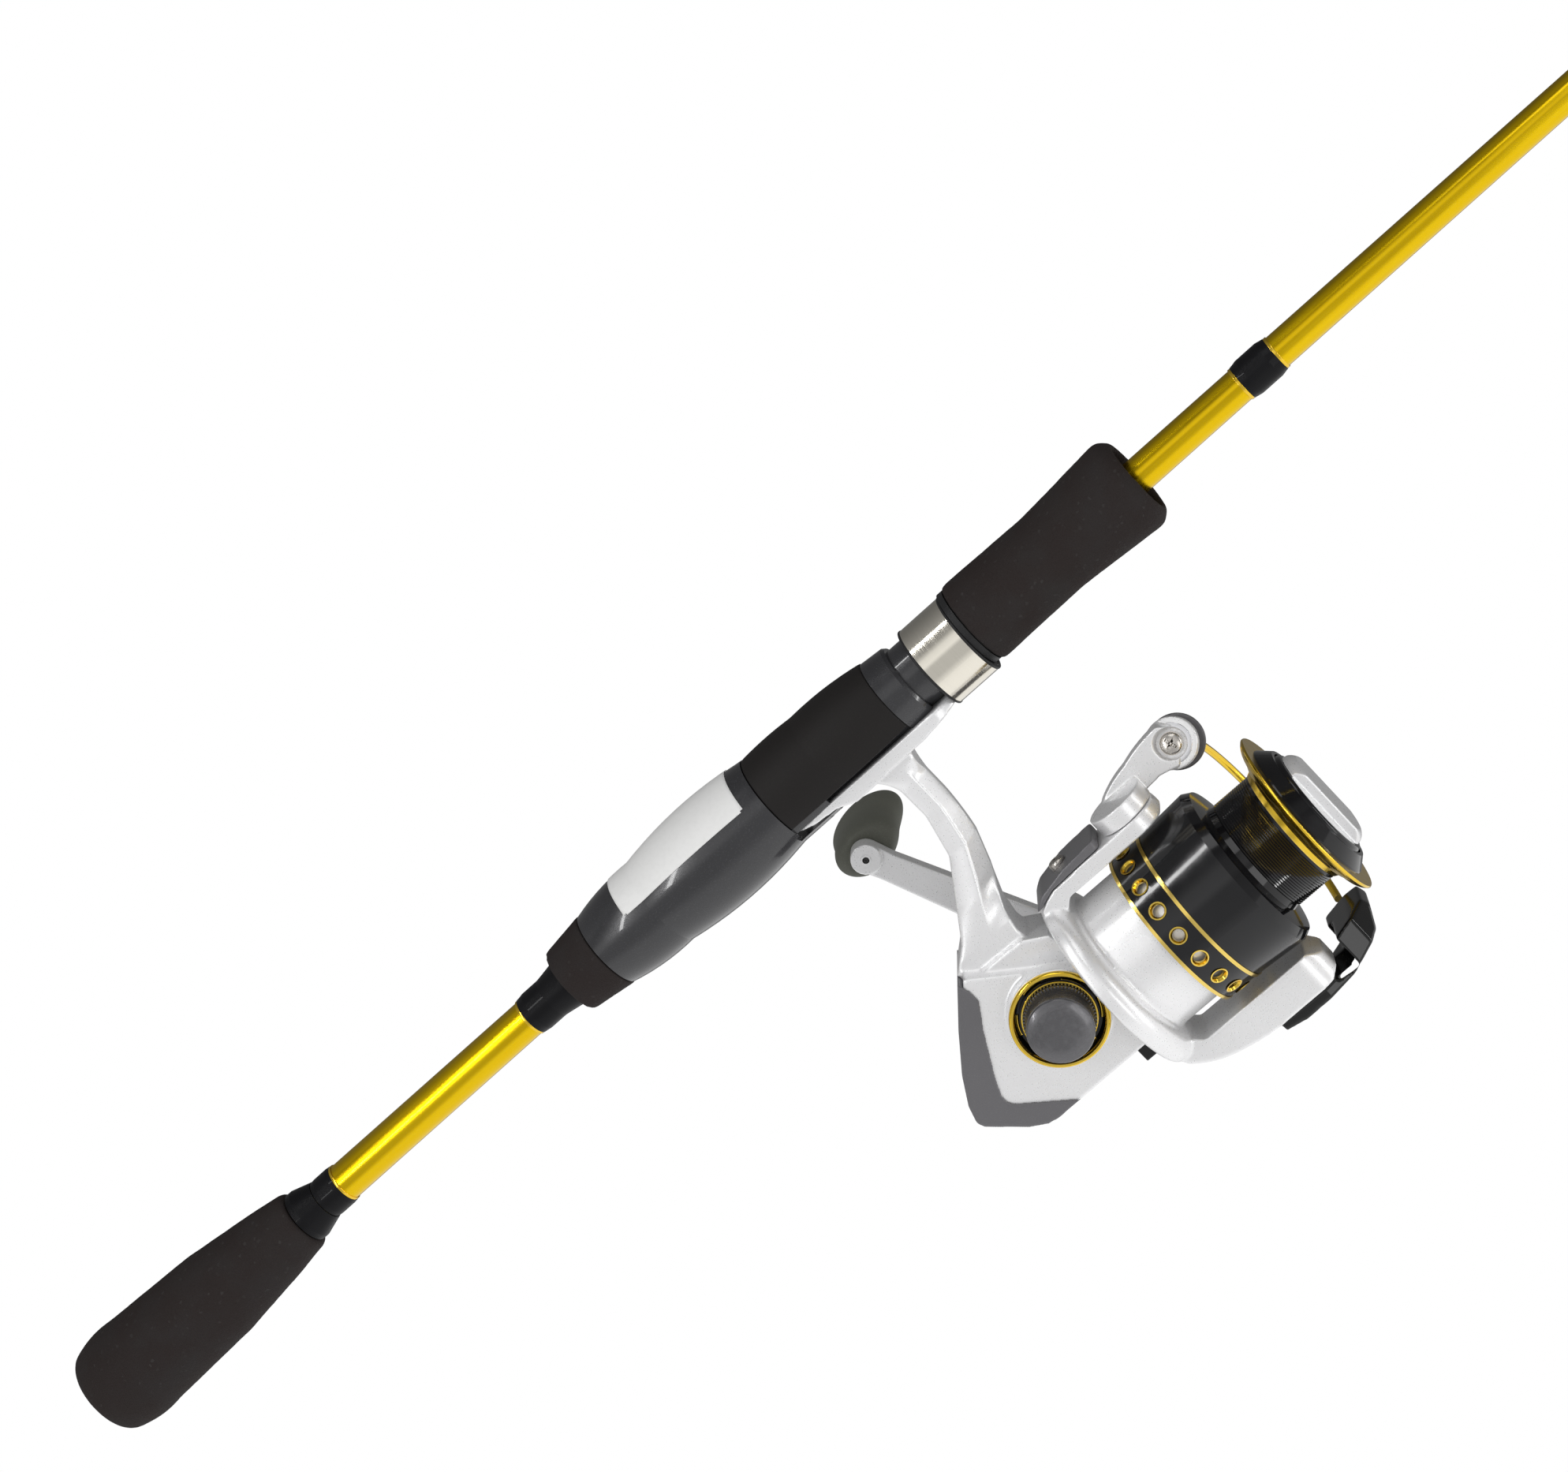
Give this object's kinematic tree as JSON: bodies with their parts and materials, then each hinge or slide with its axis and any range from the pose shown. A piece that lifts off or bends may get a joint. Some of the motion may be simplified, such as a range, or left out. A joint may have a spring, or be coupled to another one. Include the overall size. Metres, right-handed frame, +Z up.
{
  "type": "spinning rod and reel",
  "caption": "Two-piece spinning rod with foam grips and line guides, carrying an open-face reel that hangs below its screw-down seat.",
  "frame": {"origin": "on the rod's axis above the middle of the reel foot, where the hand holds the rod", "axes": "+X along the rod towards its tip, +Y to the angler's left where the reel handle is, +Z up with the reel hanging at -Z"},
  "size_m": [2.1331, 0.1061, 0.14],
  "materials": {
    "blank_gold": "metallic gold lacquer over graphite composite",
    "eva_foam": "closed-cell foam, matte",
    "wrap_black": "thread under clear epoxy",
    "seat_gloss": "dark grey gloss",
    "seat_pad_black": "soft matte",
    "hood_steel": "brushed, warm",
    "nut_plastic": "moulded",
    "guide_black": "dark plated",
    "ring_ceramic": "polished ceramic",
    "reel_silver": "silver metallic paint",
    "guard_grey": "dark grey satin",
    "screw_steel": "machine finish",
    "gold_trim": "gold anodised",
    "bearing_steel": "ground",
    "black_plastic": "moulded",
    "gear_brass": "machined",
    "shaft_steel": "ground",
    "cap_grey": "satin grey",
    "handle_silver": "silver metallic paint",
    "knob_olive": "soft-touch",
    "roller_steel": "polished",
    "spool_black": "black anodised gloss",
    "drag_silver": "silver satin"
  },
  "bodies": {
    "root": {"blank_butt": "blank_gold", "butt_grip": "eva_foam", "butt_check": "wrap_black", "blank_wraps": "wrap_black", "rear_grip": "eva_foam", "reel_seat": "seat_gloss", "seat_pad": "seat_pad_black", "guide_frame_butt": "guide_black", "guide_ring_butt": "ring_ceramic", "guide_wraps_butt": "wrap_black", "reel_body": "reel_silver", "lever_pin": "shaft_steel", "slider_rail": "shaft_steel", "side_cover": "reel_silver", "cover_screws": "screw_steel", "rear_guard": "guard_grey", "bearing_dish": "black_plastic", "cap_bezel": "gold_trim", "drive_bearing_right": "bearing_steel", "drive_bearing_left": "bearing_steel", "pinion_bearing": "bearing_steel", "one_way_clutch": "bearing_steel"},
    "tip_section": {"blank_tip": "blank_gold", "guide_frames_tip": "guide_black", "guide_rings_tip": "ring_ceramic", "guide_wraps_tip": "wrap_black", "tip_top_frame": "guide_black"},
    "hood": {"hood_shell": "hood_steel", "hood_core": "nut_plastic"},
    "foregrip": {"foregrip_nut": "nut_plastic", "foregrip": "eva_foam"},
    "handle": {"drive_gear": "gear_brass", "drive_axle": "shaft_steel", "axle_gear": "gear_brass", "screw_cap": "cap_grey", "handle_shank": "handle_silver", "handle_arm": "handle_silver", "knob_pin": "shaft_steel"},
    "knob": {"handle_knob": "knob_olive"},
    "oscillator": {"oscillation_gear": "gear_brass"},
    "rotor": {"pinion_gear": "gear_brass", "rotor": "reel_silver", "bail_spring": "shaft_steel", "rotor_nut": "screw_steel", "arm_cover": "guard_grey", "arm_screw": "screw_steel"},
    "bail": {"bail_lever": "reel_silver", "roller_screw": "screw_steel", "wire_mount": "reel_silver", "bail_wire": "gold_trim", "bail_holder": "black_plastic"},
    "roller": {"line_roller": "roller_steel"},
    "shaft": {"main_shaft": "shaft_steel", "oscillation_slider": "gear_brass"},
    "spool": {"spool": "spool_black", "skirt_trim": "gold_trim", "spool_lip": "gold_trim", "drag_stack": "shaft_steel"},
    "drag_knob": {"drag_knob": "drag_silver"},
    "lever": {"anti_reverse_lever": "black_plastic"}
  },
  "joints": [
    {"name": "handle_crank", "type": "hinge", "parent": "root", "child": "handle", "pos_m": [-0.0133, 0, -0.0825], "axis": [0, 1, 0], "continuous": true},
    {"name": "rotor_spin", "type": "hinge", "parent": "root", "child": "rotor", "pos_m": [0.01, 0, -0.0885], "axis": [1, 0, 0], "continuous": true},
    {"name": "oscillation_gear_spin", "type": "hinge", "parent": "root", "child": "oscillator", "pos_m": [-0.02683, 0, -0.0885], "axis": [0, 1, 0], "continuous": true},
    {"name": "handle_knob_spin", "type": "hinge", "parent": "handle", "child": "knob", "pos_m": [-0.03425, 0.06, -0.03545], "axis": [0, 1, 0], "continuous": true},
    {"name": "bail_flip", "type": "hinge", "parent": "rotor", "child": "bail", "pos_m": [0.0295, 0, -0.0885], "axis": [0, 0, -1], "range_deg": [0, 110]},
    {"name": "line_roller_spin", "type": "hinge", "parent": "bail", "child": "roller", "pos_m": [0.048, 0.0065, -0.0555], "axis": [0, 0.9511, -0.309], "continuous": true},
    {"name": "spool_oscillation", "type": "slide", "parent": "root", "child": "shaft", "axis": [1, 0, 0], "range_m": [-0.0065, 0.0065]},
    {"name": "spool_drag_slip", "type": "hinge", "parent": "shaft", "child": "spool", "pos_m": [0.04, 0, -0.0885], "axis": [1, 0, 0], "continuous": true},
    {"name": "drag_knob_turn", "type": "hinge", "parent": "shaft", "child": "drag_knob", "pos_m": [0.065, 0, -0.0885], "axis": [1, 0, 0], "range_deg": [-540, 540]},
    {"name": "anti_reverse_switch", "type": "hinge", "parent": "root", "child": "lever", "pos_m": [-0.0057, 0, -0.0996], "axis": [1, 0, 0], "range_deg": [0, 22]},
    {"name": "hood_slide", "type": "slide", "parent": "root", "child": "hood", "axis": [1, 0, 0], "range_m": [0, 0.012]},
    {"name": "foregrip_turn", "type": "hinge", "parent": "hood", "child": "foregrip", "pos_m": [0.06, 0, 0], "axis": [1, 0, 0], "range_deg": [0, 2880]},
    {"name": "tip_section_pull", "type": "slide", "parent": "root", "child": "tip_section", "axis": [1, 0, 0], "range_m": [0, 0.062]}
  ],
  "couplings": [
    {"joint": "rotor_spin", "follows": "handle_crank", "ratio": -5},
    {"joint": "oscillation_gear_spin", "follows": "handle_crank", "ratio": -0.42308},
    {"joint": "foregrip_turn", "follows": "hood_slide", "rad_per_m": 4188.8}
  ]
}
